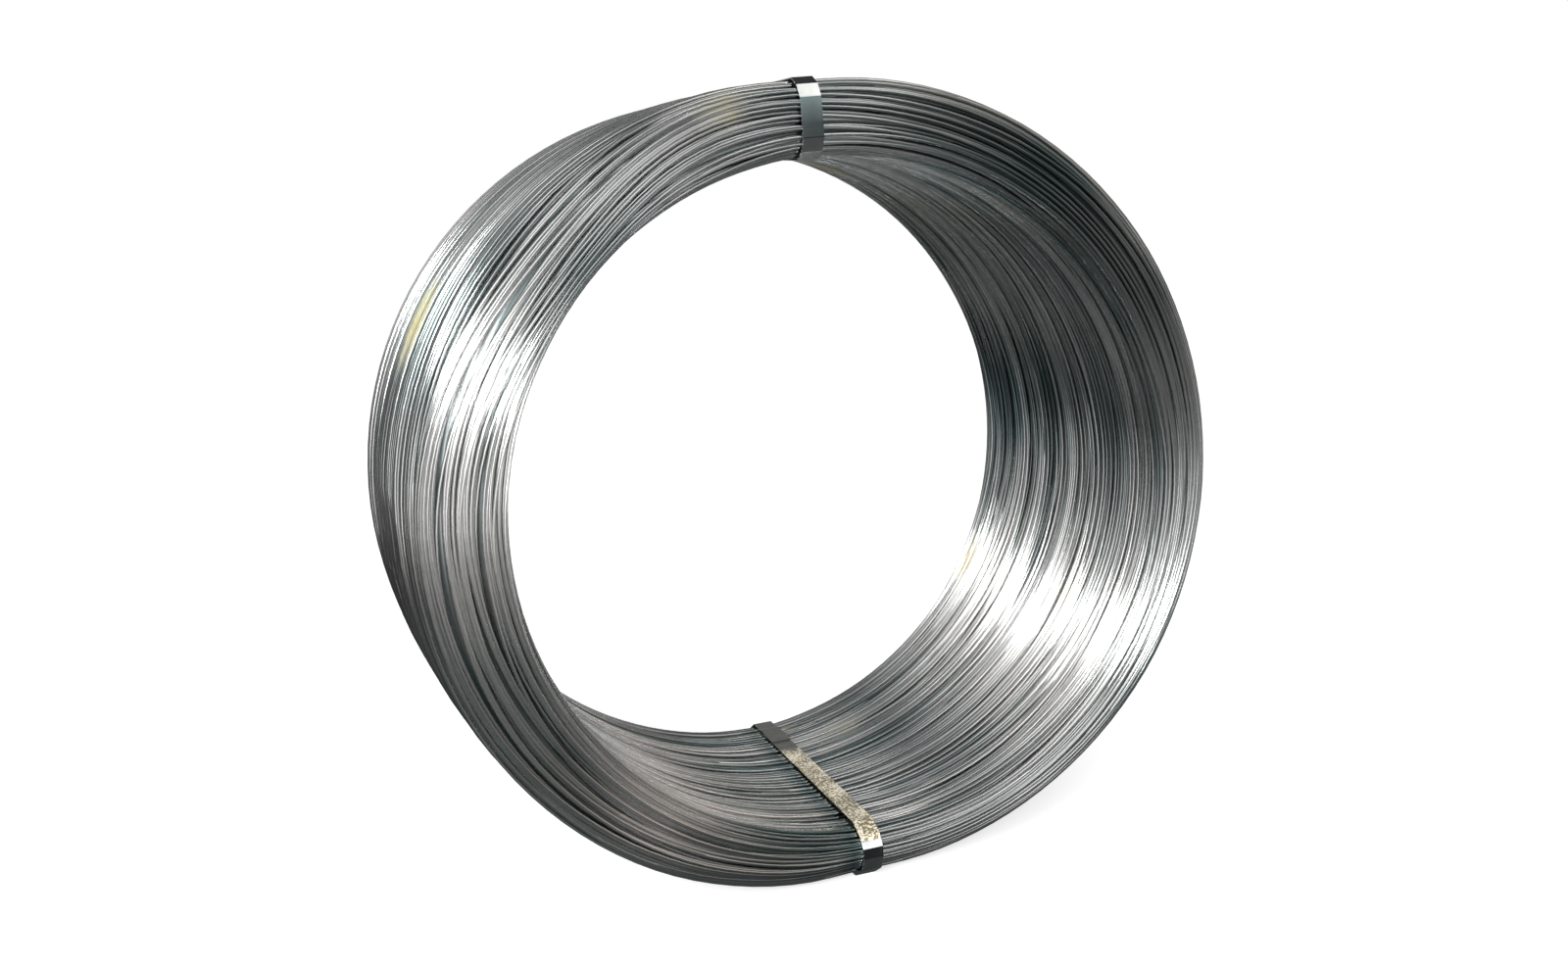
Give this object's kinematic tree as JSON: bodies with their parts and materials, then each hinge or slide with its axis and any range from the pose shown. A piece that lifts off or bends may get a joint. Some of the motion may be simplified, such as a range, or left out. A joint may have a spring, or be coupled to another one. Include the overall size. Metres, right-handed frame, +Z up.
{
  "type": "coil of steel wire",
  "caption": "Coil of fine drawn steel wire standing on its rim, its round eye open, with the bundle of turns tied by flat steel straps.",
  "frame": {"origin": "on the floor, under the middle of the standing coil", "axes": "+Z up, coil axis along Y, the end that the picture shows faces -Y"},
  "size_m": [0.629, 0.284, 0.6014],
  "materials": {
    "wire": "bright drawn",
    "strap": "oiled, lightly oxidised"
  },
  "bodies": {
    "root": {"coil": "wire", "strap_top": "strap", "strap_bottom": "strap"}
  },
  "joints": []
}
